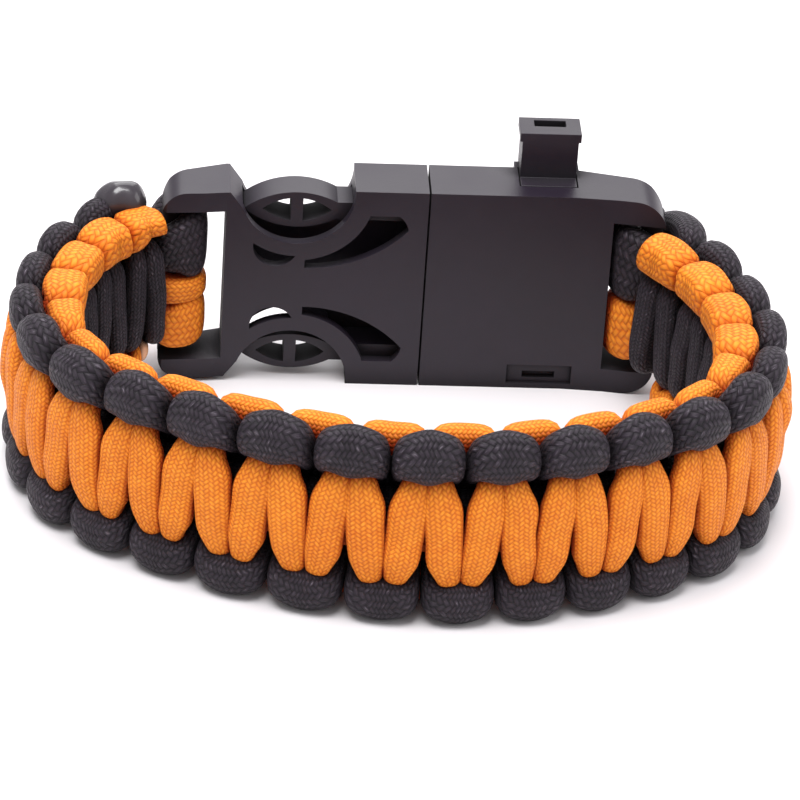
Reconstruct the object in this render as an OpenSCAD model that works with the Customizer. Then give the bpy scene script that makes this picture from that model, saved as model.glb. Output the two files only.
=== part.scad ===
// Two-colour paracord bracelet with a side-release buckle, lying on its edge.
// Millimetres. X runs along the buckle, Y from the front of the weave back to the buckle, Z up.
// Up to the module placed, X is measured from the buckle's seam and Y from its inner face.

/* [Cord] */
// Diameter of the round cord
cord_d = 4.0; // [3.8:0.1:4.1]
// Thickness of the cord where the weave or a wrap presses it flat
cord_flat = 2.9; // [2.6:0.1:3]
// Gap left between neighbouring strands
strand_gap = 0.1; // [0.05:0.05:0.2]
// Flat sides of a modelled strand
cord_sides = 6; // [6:1:8]

/* [Band] */
// Length of the woven band along its middle, from end to end
band_length = 157.5; // [150:1.5:165]
// Number of half knots in the band
half_knots = 41; // [39:2:43]
// Width of the band over the edge loops
band_w = 24.6; // [24:0.2:26]
// Thickness of the band over the edge loops
band_t = 9.2; // [9:0.1:10]

/* [Buckle] */
// Height of the buckle, which is the width across the wearer's wrist
buckle_h = 27.8; // [27:0.2:29]
// Thickness of the buckle
buckle_t = 7.3; // [7.2:0.1:8]
// Width of the seam between the two halves
seam_gap = 0.25; // [0.15:0.05:0.5]
// Radius of the strap bars
strap_bar_r = 1.35; // [1.25:0.05:1.4]
// Height of the strap slots
slot_h = 21.2; // [20.8:0.1:21.8]
// Radius of the rounded outer corners
corner_r = 3.0; // [1:0.2:3]

/* [Socket half] */
// Length of the socket, from the seam to its end wall
socket_len = 22.9; // [22.6:0.1:24]
// Thickness of the socket's end wall, beside the strap slot
end_wall = 2.0; // [1.6:0.1:3]
// Width of the socket half's strap slot
socket_slot_w = 5.2; // [4:0.1:6]
// Thickness of the socket's walls
socket_wall = 1.3; // [1:0.1:1.5]
// Thickness of the socket's upper and lower walls
socket_edge = 2.2; // [1.6:0.1:2.4]
// Radius of the side cut-outs
cutout_r = 7.1; // [6.9:0.1:7.2]
// Distance from the seam to the middle of the side cut-outs
cutout_x = 16.3; // [16:0.1:16.6]
// Depth by which the strap loop is lower than the buckle, on each edge
loop_step = 0.6; // [0.2:0.1:1]

/* [Prong half] */
// Length of the box, from the seam to the strap slot
box_len = 22.8; // [22:0.2:26]
// Width of the prong half's strap slot
box_slot_w = 3.8; // [3.8:0.1:5]
// How far the box's strap end bends towards the wrist
box_bend = 1.3; // [0.8:0.1:2]
// Clearance between the prongs and the socket
prong_gap = 0.3; // [0.2:0.05:0.4]
// Height of a prong's arm
arm_h = 2.4; // [2:0.1:2.6]
// Height of a press pad at its middle
pad_h = 4.9; // [4.7:0.1:5]
// Length of a press pad
pad_len = 13.2; // [12.8:0.1:13.2]
// Length of the opening through a press pad
pad_window = 8.6; // [7:0.1:9]
// Width of the rib across that opening
pad_rib = 1.5; // [1:0.1:2]

/* [Fire striker] */
// Width of the pull-out handle
handle_w = 7; // [6.4:0.1:7.4]
// Height of the handle above the buckle
handle_h = 6.2; // [5:0.1:8]
// Thickness of the handle
handle_t = 4.2; // [3.6:0.1:4.6]
// Depth of the handle's foot in its pocket
foot_h = 2; // [1.6:0.1:3]
// Clearance round the foot in its pocket
foot_gap = 0.15; // [0.1:0.05:0.2]
// Radius of the striker rod
rod_r = 1.6; // [1.3:0.1:1.7]
// Length of the striker rod below the handle's foot
rod_len = 19; // [15:0.5:21]
// Clearance between the rod and its bore
rod_gap = 0.06; // [0.03:0.01:0.1]
// Thickness of the boss over the striker
boss_t = 1.5; // [1:0.1:2]

/* [Hidden] */
$fn = 48;
over = 1;

cord_r = cord_d / 2;
mid_z = band_w / 2;
// The two bars are on opposite edges of the band, so the half knots are odd in number.
knots = 2 * round((half_knots - 1) / 2) + 1;
half_pitch = band_length / knots;

// Buckle landmarks along X, from the seam outwards.
half_seam = seam_gap / 2;
wall_x = -half_seam - socket_len;
slot_left_x = wall_x - end_wall;
left_bar = [slot_left_x - socket_slot_w - strap_bar_r, buckle_t * 0.41];
left_end = left_bar[0] - strap_bar_r;
slot_right_x = half_seam + box_len;
right_bar = [slot_right_x + box_slot_w + strap_bar_r, buckle_t * 0.3];
right_end = right_bar[0] + strap_bar_r;
buckle_mid = buckle_h / 2;

// The band's plan curve is a chain of arcs: each row is a length and a turn in degrees.
ARCS = [[44, 116], [27.5, 22], [44.5, 48], [25, 70], [16.5, 26]];
// How tightly the knots are drawn along the band: share of its length, relative pitch.
PACE = [[0, 0.84], [0.23, 0.97], [0.43, 1.18], [0.62, 1.06], [0.82, 0.95], [1, 0.98]];
// Ends of the band, measured from the strap bars.
band_start = left_bar + [-3.9, -2.3];
band_end = right_bar + [2.2, -6.3];
arc_total = len_sum(ARCS, 0, len(ARCS));
function len_sum(rows, i, n) = i == n ? 0 : rows[i][0] + len_sum(rows, i + 1, n);
function sinc_chord(length, turn) =
    abs(turn) < 0.001 ? length : 2 * length / (turn * PI / 180) * sin(turn / 2);
function arc_step(p, length, turn) =
    [p[0] + sinc_chord(length, turn) * cos(p[2] + turn / 2),
     p[1] + sinc_chord(length, turn) * sin(p[2] + turn / 2),
     p[2] + turn,
     p[3] + length];
function chain(bow) =
    [for (i = 0, p = [0, 0, 0, 0]; i <= len(ARCS);
          p = i < len(ARCS) ? arc_step(p, ARCS[i][0] / arc_total * band_length, ARCS[i][1] * bow) : p,
          i = i + 1) p];
function reach(bow) = let (e = chain(bow)[len(ARCS)]) norm([e[0], e[1]]);
// The bow that closes the band between the two strap bars.
function bow_for(span, low, high, n) =
    let (m = (low + high) / 2)
    n == 0 ? m : reach(m) > span ? bow_for(span, m, high, n - 1) : bow_for(span, low, m, n - 1);
bow = bow_for(norm(band_end - band_start), 0.7, 1.3, 24);
CHAIN = chain(bow);
chain_end = CHAIN[len(ARCS)];
lie = atan2(band_end[1] - band_start[1], band_end[0] - band_start[0]) - atan2(chain_end[1], chain_end[0]);

function arc_at(s, i) = i < len(ARCS) - 1 && s > CHAIN[i + 1][3] ? arc_at(s, i + 1) : i;
// Plan position and heading of the band's middle at arc length s.
function plan_at(s) =
    let (i = arc_at(s, 0), p = CHAIN[i], d = s - p[3],
         q = arc_step(p, d, (CHAIN[i + 1][2] - p[2]) * d / (CHAIN[i + 1][3] - p[3])))
    [band_start[0] + q[0] * cos(lie) - q[1] * sin(lie),
     band_start[1] + q[0] * sin(lie) + q[1] * cos(lie),
     q[2] + lie];
function bend_at(s) =
    let (i = arc_at(s, 0))
    (CHAIN[i + 1][2] - CHAIN[i][2]) * PI / 180 / (CHAIN[i + 1][3] - CHAIN[i][3]);

// Arc length at half knot u, from the relative pitches.
function pace_area(k, i) =
    i == len(PACE) - 1 || k <= PACE[i][0] ? 0 :
    let (a = PACE[i], b = PACE[i + 1], e = min(k, b[0]),
         pe = a[1] + (b[1] - a[1]) * (e - a[0]) / (b[0] - a[0]))
    (e - a[0]) * (a[1] + pe) / 2 + pace_area(k, i + 1);
pace_total = pace_area(1, 0);
function pitch_at(u) =
    let (k = min(max(u / knots, 0), 0.9999),
         i = [for (j = [0:len(PACE) - 2]) if (k >= PACE[j][0] && k < PACE[j + 1][0]) j][0],
         a = PACE[i], b = PACE[i + 1])
    half_pitch / pace_total * (a[1] + (b[1] - a[1]) * (k - a[0]) / (b[0] - a[0]));
function s_at(u) =
    u < 0 ? u * pitch_at(0) :
    u > knots ? band_length + (u - knots) * pitch_at(knots) :
    band_length * pace_area(u / knots, 0) / pace_total;

// The band rises at both ends, from the ground to the middle of the buckle.
end_rise = buckle_h / 2 - band_w / 2;
rise_over = 9;
// The weave also opens round the strap bars.
end_spread = 0.35;
spread_over = 3;
function ease(u, over) = pow(max(0, 1 - max(min(u, knots - u), 0) / over), 2);
function mid_at(u) = mid_z + end_rise * ease(u, rise_over);

// A station is a point, the band's direction there, and three half sizes:
// along the band, outwards and upwards.
function band_station(u, out, up, sizes) =
    let (s = s_at(u), p = plan_at(s))
    [[p[0] + out * sin(p[2]), p[1] - out * cos(p[2]), mid_at(u) + up], p[2], sizes];
flat_r = cord_flat / 2;
strand_r = cord_r - strand_gap / 2;

// One turn of a working strand, from the middle of one bar to the edge loop's middle. Half knots
// from the loop, outward share of the band's bar or loop, upward share of the loop's middle, and
// the half sizes: along the band in half knots, outwards and upwards as shares of the loop's own.
TURN = [[-0.50, 1.00, 0.00, 0.485, 0.66, 0.60],
        [-0.55, 0.96, 0.49, 0.460, 0.65, 0.60],
        [-0.74, 0.16, 0.71, 0.235, 0.80, 0.60],
        [-0.74, -0.50, 0.83, 0.240, 0.80, 0.66],
        [-0.54, -0.97, 0.98, 0.385, 0.92, 0.86],
        [0.00, -1.00, 1.00, 0.490, 1.00, 1.00]];
loop_half_t = band_t / 4 - strand_gap / 2;
loop_half_h = cord_r * 1.32;
loop_out = band_t / 2 - loop_half_t;
bar_out = band_t / 2 - flat_r - strand_gap;
loop_up = band_w / 2 - loop_half_h;
function spread(u) = 1 + end_spread * ease(u, spread_over);
function turn_station(t, k, face) =
    let (first = k <= 5, row = TURN[first ? k : 10 - k], edge = t % 2 == 0 ? 1 : -1,
         u = t + 0.5 + (first ? row[0] : -row[0]),
         out = row[1] * (row[1] > 0 ? bar_out : loop_out) * spread(u))
    band_station(u, face * out, face * edge * row[2] * loop_up,
        [row[3] * pitch_at(u) * (1 + face * out * bend_at(s_at(u))) - strand_gap / 2,
         row[4] * loop_half_t, row[5] * loop_half_h]);
// Stations of one turn, and of a strand from turn t_end back to turn t_start.
function turn(t, k_from, k_to, face) = [for (k = [k_from:-1:k_to]) turn_station(t, k, face)];
function weave(t_start, t_end, face) =
    [for (t = [t_end:-1:t_start]) each turn(t, 10, t == t_start ? 0 : 1, face)];

// A flattened strand inside the band or beside it: rows of half knots, outward, upward.
function inside(rows) =
    [for (r = rows) band_station(r[0], r[1], r[2], [flat_r, flat_r, strand_r])];
core_up = cord_r + strand_gap / 2;
function core(u_from, u_to, edge) = inside([for (u = [u_from:2:u_to]) [u, 0, edge * core_up]]);
// Turns round a strap bar: rows of angle, height above the buckle's middle and half the strand's
// own height, as a share of the cord. An angle of 0 points along X, and -90 at the inner face.
wrap_step = 45;
wrap_r = (strap_bar_r + 1.5 * strand_gap) / cos(wrap_step / 2) + flat_r;
function wrap(bar, rows) =
    [for (r = rows) [[bar[0] + wrap_r * cos(r[0]), bar[1] + wrap_r * sin(r[0]), buckle_mid + r[1]],
                     0, [flat_r, flat_r, r[2] * cord_d]]];
BLACK_LEFT = [[-235, 5.9, 0.7], [-270, 5.6, 1.1], [-315, 5.4, 1.22], [-360, 5.4, 1.22],
              [-405, 5.4, 1.15], [-450, 5.1, 0.8]];
ORANGE_LEFT = [[-235, -6.4, 0.48], [-270, -6.6, 0.55], [-315, -6.7, 0.58], [-360, -6.7, 0.58],
               [-405, -5.8, 0.5], [-450, -4.6, 0.4], [-495, -3.9, 0.38], [-540, -3.2, 0.44],
               [-585, -2.4, 0.5], [-630, -1.9, 0.55], [-675, -1.7, 0.55], [-720, -1.7, 0.55],
               [-765, -1.4, 0.5], [-810, -0.8, 0.42]];
BLACK_RIGHT = [[-90, 3.6, 0.65], [-135, 4.2, 0.95], [-180, 4.4, 1.02], [-225, 4.6, 0.95],
               [-270, 5.4, 0.7]];
ORANGE_RIGHT = [[-90, -3.4, 0.65], [-135, -4.2, 0.95], [-180, -4.5, 1.02], [-225, -4.8, 0.95],
                [-270, -5.5, 0.7]];

black_path = concat(
    wrap(left_bar, BLACK_LEFT),
    inside([[0, 0.3, 3.7], [1.4, 0, 2.7]]),
    core(3, knots - 2, 1),
    inside([[knots - 0.4, 0, 2.3]]),
    wrap(right_bar, BLACK_RIGHT),
    inside([[knots + 1.2, 5.9, 8.2]]),
    turn(knots, 4, 1, -1),
    weave(0, knots - 1, -1),
    turn(-1, 9, 6, -1));
orange_path = concat(
    wrap(left_bar, ORANGE_LEFT),
    inside([[0, 0, -0.5], [1.4, 0, -1.7]]),
    core(3, knots - 2, -1),
    inside([[knots - 0.4, 0, -2.3]]),
    wrap(right_bar, ORANGE_RIGHT),
    inside([[knots + 1.2, 5.9, -6.8]]),
    turn(knots, 1, 1, 1),
    weave(0, knots - 1, 1),
    turn(-1, 9, 7, 1));

// A melted end caps its cord: rows of distance from the cut and half thickness, as shares of the
// cord. It starts a gap away from the cord's own end and leans further aside row by row.
melt_gap = 2 * strand_gap;
BLACK_MELT = [[0, 0.45], [0.1, 0.6], [0.28, 0.76], [0.5, 0.72], [0.66, 0.5], [0.74, 0.2]];
ORANGE_MELT = [[0, 0.42], [0.06, 0.5], [0.28, 0.48], [0.42, 0.28]];
function melt(path, rows, lean, sizes) =
    let (n = len(path), p = path[n - 1][0], d = unit(p - path[n - 2][0]))
    [for (r = rows)
        [p + d * (melt_gap + r[0] * cord_d) + lean * pow(r[0], 3) * cord_d,
         path[n - 1][1],
         sizes * r[1] * cord_d]];
black_melt_path = melt(black_path, BLACK_MELT, [-1, 0, -1.2], [1.1, 1, 0.74]);
orange_melt_path = melt(orange_path, ORANGE_MELT, [-0.3, 0, 0.4], [0.46, 0.9, 1]);

function unit(v) = v / norm(v);
function flat_to(v, along) = unit(v - (v * along) * along);
function directions(path) =
    [for (i = [0:len(path) - 1]) unit(path[min(i + 1, len(path) - 1)][0] - path[max(i - 1, 0)][0])];
// Cross vectors carried along the path, so that the skin doesn't twist.
function carried(dirs) =
    [for (i = 0, e = flat_to([0.3, 0.2, 1], dirs[0]); i < len(dirs);
          i = i + 1, e = i < len(dirs) ? flat_to(e, dirs[i]) : e) e];
// Half size of a station towards the unit direction d.
function half_size(st, d) =
    let (a = d * [cos(st[1]), sin(st[1]), 0], o = d * [sin(st[1]), -cos(st[1]), 0])
    1 / sqrt(pow(a / st[2][0], 2) + pow(o / st[2][1], 2) + pow(d[2] / st[2][2], 2));
function ring(st, along, across) =
    let (other = cross(along, across))
    [for (k = [0:cord_sides - 1])
        let (a = 360 * (k + 0.5) / cord_sides, d = cos(a) * across + sin(a) * other)
        st[0] + half_size(st, d) * d];
module strand(path) {
    dirs = directions(path);
    sides = carried(dirs);
    n = len(path);
    m = cord_sides;
    points = [for (i = [0:n - 1]) each ring(path[i], dirs[i], sides[i])];
    skin = [for (i = [0:n - 2], k = [0:m - 1])
        let (a = i * m + k, b = i * m + (k + 1) % m) each [[a, a + m, b + m], [a, b + m, b]]];
    caps = [[for (k = [0:m - 1]) k], [for (k = [m - 1:-1:0]) (n - 1) * m + k]];
    polyhedron(points, concat(skin, caps), convexity = 20);
}

module placed() {
    translate([-origin_x, -origin_y, 0]) children();
}

// Extrudes a side view, drawn in X and height above the buckle's middle, from y0 to y1.
module slab(y0, y1) {
    translate([0, y1, buckle_mid]) rotate([90, 0, 0]) linear_extrude(y1 - y0) children();
}
// Extrudes a plan view over the whole height of the buckle.
module tall() {
    translate([0, 0, -over]) linear_extrude(buckle_h + 2 * over) children();
}
module both_edges() {
    children();
    mirror([0, 1, 0]) children();
}
// What rounds an outer corner at (x, y): sx and sy say on which side the solid lies.
module corner_cut(x, y, r, sx, sy) {
    translate([x, y]) difference() {
        translate([sx < 0 ? -r : -over, sy < 0 ? -r : -over]) square(r + over);
        translate([sx * r, sy * r]) circle(r);
    }
}
// Lens between two arcs that meet at both ends.
module lens(length, up, down) {
    r_up = (pow(length / 2, 2) + up * up) / (2 * up);
    r_down = (pow(length / 2, 2) + down * down) / (2 * down);
    intersection() {
        translate([0, up - r_up]) circle(r_up, $fn = 96);
        translate([0, r_down - down]) circle(r_down, $fn = 96);
    }
}

// Side cut-outs and the prongs in them. Heights are measured from the buckle's middle.
cutout_up = buckle_mid - 0.5;
pad_up = buckle_mid - 1.2 - pad_h / 2;
cavity_y0 = socket_wall;
cavity_y1 = buckle_t - socket_wall;
loop_up_edge = buckle_mid - loop_step;
slot_up = slot_h / 2;

module socket_side() {
    difference() {
        union() {
            translate([-cutout_x, -buckle_mid]) square([cutout_x - half_seam, buckle_h]);
            translate([left_end, -loop_up_edge]) square([-cutout_x - left_end, 2 * loop_up_edge]);
        }
        both_edges() {
            cutout_circle(0);
            corner_cut(left_end, loop_up_edge, corner_r, 1, -1);
            polygon([[slot_left_x + 0.4, loop_up_edge + over], [slot_left_x + 0.4, loop_up_edge],
                     [-cutout_x - cutout_r + 0.7, cutout_up - 2.8], [-cutout_x, cutout_up],
                     [-cutout_x, loop_up_edge + over]]);
        }
        translate([slot_left_x - socket_slot_w, -slot_up]) square([socket_slot_w, slot_h]);
        translate([left_end - over, -slot_up]) square([2 * strap_bar_r + 2 * over, slot_h]);
    }
}
module socket_plan() {
    polygon([[-half_seam, 0], [-half_seam, buckle_t], [slot_left_x, buckle_t],
             [left_end + 0.8, buckle_t * 0.66], [left_end, buckle_t * 0.52],
             [left_end, -buckle_t * 0.05], [left_end + 0.5, -buckle_t * 0.1],
             [slot_left_x - socket_slot_w / 2, -buckle_t * 0.05], [slot_left_x, 0]]);
}
// Openings through the socket's inner wall, beside each cut-out: a drop towards the seam, round
// at its thick end, and a crescent towards the strap. The rim is the wall left between.
drop_rim = 2.4;
drop_top = 10.5;
drop_end = -2.4;
drop_end_r = 3.2;
crescent_rim = 1.8;
crescent_r = 2.8;
module cutout_circle(wider) {
    translate([-cutout_x, cutout_up]) circle(cutout_r + wider, $fn = 96);
}
module drop_window() {
    round_x = drop_end - drop_end_r;
    difference() {
        intersection() {
            translate([-cutout_x + 1.4, cutout_up + 5.9]) circle(cutout_r + drop_rim + 7, $fn = 96);
            union() {
                translate([round_x, drop_top - 2.5]) circle(drop_end_r);
                translate([-cutout_x + 1.2, 0]) square([round_x + cutout_x - 1.2, drop_top]);
            }
            translate([-cutout_x, 0]) square([cutout_x, drop_top]);
        }
        cutout_circle(drop_rim);
    }
}
module crescent_window() {
    difference() {
        translate([-cutout_x - 2.5, cutout_up - 7.6]) circle(crescent_r);
        cutout_circle(crescent_rim);
    }
}
module socket_windows() {
    both_edges() {
        drop_window();
        crescent_window();
    }
}
// Rib behind the lower drop, from wall to wall along the cut-out.
rib_t = 0.8;
rib_len = 3.6;
module guide_rib() {
    slab(cavity_y0 - 0.1, cavity_y1 + 0.1) mirror([0, 1, 0]) intersection() {
        difference() {
            cutout_circle(rib_t);
            cutout_circle(0);
        }
        translate([-cutout_x + 1.2, 0]) square([rib_len, cutout_up]);
    }
}
module socket_half() {
    color("#2b272c") placed() {
        difference() {
            intersection() {
                slab(-buckle_t, 2 * buckle_t) socket_side();
                tall() socket_plan();
            }
            translate([wall_x, cavity_y0, socket_edge])
                cube([socket_len + seam_gap, cavity_y1 - cavity_y0, buckle_h - 2 * socket_edge]);
            slab(-over, cavity_y0 + 0.1) socket_windows();
        }
        guide_rib();
        strap_bar(left_bar);
    }
}
// A strap bar reaches into the rails above and below its slot.
module strap_bar(at) {
    reach_in = 0.6;
    translate([at[0], at[1], buckle_mid - slot_up - reach_in])
        cylinder(h = slot_h + 2 * reach_in, r = strap_bar_r);
}

// The striker stands in the box, behind the boss.
striker_x = half_seam + box_len * 0.645;
rod_y = buckle_t * 0.6;
foot_y0 = rod_y - rod_r - 0.1;
foot_y1 = buckle_t - 0.1;
handle_y1 = buckle_t + boss_t + 0.2;
back_y = handle_y1;
rod_in_foot = 1.2;
boss_w = handle_w + 1;

module box_side() {
    difference() {
        translate([half_seam, -buckle_mid]) square([right_end - half_seam, buckle_h]);
        both_edges() corner_cut(right_end, buckle_mid, corner_r + 1, -1, -1);
        translate([slot_right_x, -slot_up]) square([right_end - slot_right_x + over, slot_h]);
    }
}
module box_plan() {
    bend_x = slot_right_x - 4.8;
    polygon([[half_seam, 0], [bend_x, 0], [slot_right_x + 0.3, -box_bend * 0.3],
             [right_end - 1.5, -box_bend * 0.85], [right_end, -box_bend], [right_end, buckle_t * 0.46],
             [right_end - 1.6, buckle_t * 0.66], [bend_x - 0.9, buckle_t], [half_seam, buckle_t]]);
}
// Shallow recess in the inner face, with a deeper slit.
module face_recess() {
    w = box_len * 0.36;
    translate([striker_x - w / 2 + 0.35, -over, 0.7]) cube([w, over + 0.4, 2.7]);
    translate([striker_x - w / 4 + 0.3, -over, 1.4]) cube([w / 2, over + 1, 0.9]);
}
module prongs() {
    arm_y0 = cavity_y0 + prong_gap;
    arm_y1 = cavity_y1 - prong_gap;
    slab(arm_y0, arm_y1) both_edges() difference() {
        union() {
            translate([-cutout_x + pad_len / 2 - 1.6, buckle_mid - socket_edge - prong_gap - arm_h])
                square([cutout_x - pad_len / 2 + 1.6 + half_seam + over, arm_h]);
            translate([-cutout_x, pad_up]) lens(pad_len, pad_h / 2, pad_h / 2);
        }
        difference() {
            translate([-cutout_x, pad_up]) lens(pad_window, pad_h * 0.33, pad_h * 0.33);
            translate([-cutout_x - pad_rib / 2, pad_up - pad_h / 2]) square([pad_rib, pad_h]);
        }
    }
}
module prong_half() {
    color("#2b272c") placed() {
        difference() {
            union() {
                intersection() {
                    slab(-buckle_t, 2 * buckle_t) box_side();
                    tall() box_plan();
                }
                translate([striker_x - boss_w / 2, buckle_t - over, 0])
                    cube([boss_w, over + boss_t, buckle_h]);
            }
            face_recess();
            translate([striker_x - handle_w / 2 - foot_gap, foot_y0 - foot_gap,
                       buckle_h - foot_h - foot_gap])
                cube([handle_w + 2 * foot_gap, foot_y1 - foot_y0 + 2 * foot_gap,
                      foot_h + foot_gap + over]);
            translate([striker_x, rod_y, buckle_h - foot_h - rod_len - over])
                cylinder(h = rod_len + foot_h, r = rod_r + rod_gap);
        }
        prongs();
        strap_bar(right_bar);
    }
}

module striker_handle() {
    tab_y0 = handle_y1 - handle_t;
    grip_slot = [handle_w * 0.56, handle_t * 0.36, 3.2];
    color("#2b272c") placed() difference() {
        union() {
            translate([striker_x - handle_w / 2, foot_y0, buckle_h - foot_h])
                cube([handle_w, foot_y1 - foot_y0, foot_h]);
            translate([striker_x - handle_w / 2, tab_y0, buckle_h + foot_gap - over])
                cube([handle_w, foot_y1 - tab_y0, over]);
            translate([striker_x - handle_w / 2, tab_y0, buckle_h + foot_gap])
                cube([handle_w, handle_t, handle_h - foot_gap]);
            translate([striker_x - handle_w / 2 - 0.3, tab_y0, buckle_h + handle_h - 1.2])
                cube([handle_w + 0.6, handle_t, 1.2]);
        }
        translate([striker_x - grip_slot[0] / 2, handle_y1 - 0.7 - grip_slot[1],
                   buckle_h + handle_h - grip_slot[2]])
            cube(grip_slot + [0, 0, over]);
        translate([striker_x, rod_y, buckle_h - foot_h - over])
            cylinder(h = rod_in_foot + over, r = rod_r + rod_gap);
    }
}
module striker_rod() {
    color("#3c3c40") placed() translate([striker_x, rod_y, buckle_h - foot_h - rod_len])
        cylinder(h = rod_len + rod_in_foot - rod_gap, r = rod_r);
}

// Skins' own points, for the reach of the whole part.
cord_points = [for (path = [black_path, orange_path])
    let (dirs = directions(path), sides = carried(dirs))
    for (i = [0:len(path) - 1]) each ring(path[i], dirs[i], sides[i])];
xs = [for (p = cord_points) p[0]];
ys = [for (p = cord_points) p[1]];
origin_x = (min(xs) + max(xs)) / 2;
origin_y = (min(ys) + back_y) / 2;
module black_cord() {
    color("#3b383f") placed() strand(black_path);
}
module orange_cord() {
    color("#f5961e") placed() strand(orange_path);
}
module black_melted_end() {
    color("#1c1a1d") placed() strand(black_melt_path);
}
module orange_melted_end() {
    color("#e8b98a") placed() strand(orange_melt_path);
}
socket_half();
prong_half();
striker_handle();
striker_rod();
black_cord();
orange_cord();
black_melted_end();
orange_melted_end();
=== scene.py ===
"""Two-colour paracord bracelet lying on its edge: finished cords, buckle, striker and melted ends.

Routes are worked out in the buckle's own millimetres: X runs along the buckle from its seam, Y from
its inner face outwards and Z up. They are moved to the frame's place and made metres in the meshes.
"""
import logging
import math
from collections.abc import Sequence
from dataclasses import dataclass
from enum import Enum
from typing import NamedTuple

import bpy
import numpy as np
from mathutils import Matrix, Vector


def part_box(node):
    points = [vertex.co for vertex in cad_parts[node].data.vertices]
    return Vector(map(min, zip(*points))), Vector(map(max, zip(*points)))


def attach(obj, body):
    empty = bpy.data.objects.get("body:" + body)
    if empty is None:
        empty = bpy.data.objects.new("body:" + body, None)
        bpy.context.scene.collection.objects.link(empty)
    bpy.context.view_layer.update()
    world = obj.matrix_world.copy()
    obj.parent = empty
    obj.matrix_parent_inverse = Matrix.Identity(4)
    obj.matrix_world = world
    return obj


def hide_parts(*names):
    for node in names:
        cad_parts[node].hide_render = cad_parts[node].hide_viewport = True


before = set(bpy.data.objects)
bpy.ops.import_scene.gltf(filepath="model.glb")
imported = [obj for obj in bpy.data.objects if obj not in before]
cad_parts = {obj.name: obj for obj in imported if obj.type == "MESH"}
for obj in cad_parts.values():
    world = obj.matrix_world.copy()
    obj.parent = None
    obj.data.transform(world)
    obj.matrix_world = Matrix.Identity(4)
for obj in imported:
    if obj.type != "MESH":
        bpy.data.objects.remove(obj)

MM = 0.001
log = logging.getLogger("bracelet")

Rgb = tuple[float, float, float]
Span = tuple[float, float]
Socket = bpy.types.NodeSocket
Sockets = dict[str, Socket]

# Exponent of a pressed strand's section, where 2 is an ellipse and more is boxier
PRESSED = 2.6


class Body(Enum):
    """The bodies that a piece can ride on."""

    ROOT = "root"
    STRIKER = "striker"


class Face(Enum):
    """The side of the band that a strand's bars show on."""

    OUTSIDE = 1
    INSIDE = -1


def deselect() -> None:
    """Leaves object mode with nothing selected."""
    if bpy.context.object is not None and bpy.context.object.mode != "OBJECT":
        bpy.ops.object.mode_set(mode="OBJECT")
    bpy.ops.object.select_all(action="DESELECT")


def activate(piece: bpy.types.Object) -> None:
    """Selects one piece alone and makes it the active one.

    Args:
        piece: The object.
    """
    deselect()
    piece.select_set(True)
    bpy.context.view_layer.objects.active = piece


def apply_modifier(piece: bpy.types.Object, kind: str, **settings: object) -> None:
    """Adds a modifier to a piece and applies it.

    Args:
        piece: The mesh object.
        kind: The modifier's type, such as BEVEL.
        settings: Values of the modifier's own properties.
    """
    activate(piece)
    modifier = piece.modifiers.new(kind.lower(), kind)
    for name, value in settings.items():
        setattr(modifier, name, value)
    bpy.ops.object.modifier_apply(modifier=modifier.name)


def dress(piece: bpy.types.Object, material: bpy.types.Material, body: Body, node: str) -> None:
    """Gives a piece its material and body, in place of a CAD node.

    Args:
        piece: The finished mesh object.
        material: Its one material.
        body: The body that it rides on.
        node: The CAD node that it stands for.
    """
    piece.data.materials.clear()
    piece.data.materials.append(material)
    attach(piece, body.value)
    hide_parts(node)
    log.info("%s: %d faces", piece.name, len(piece.data.polygons))


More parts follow.
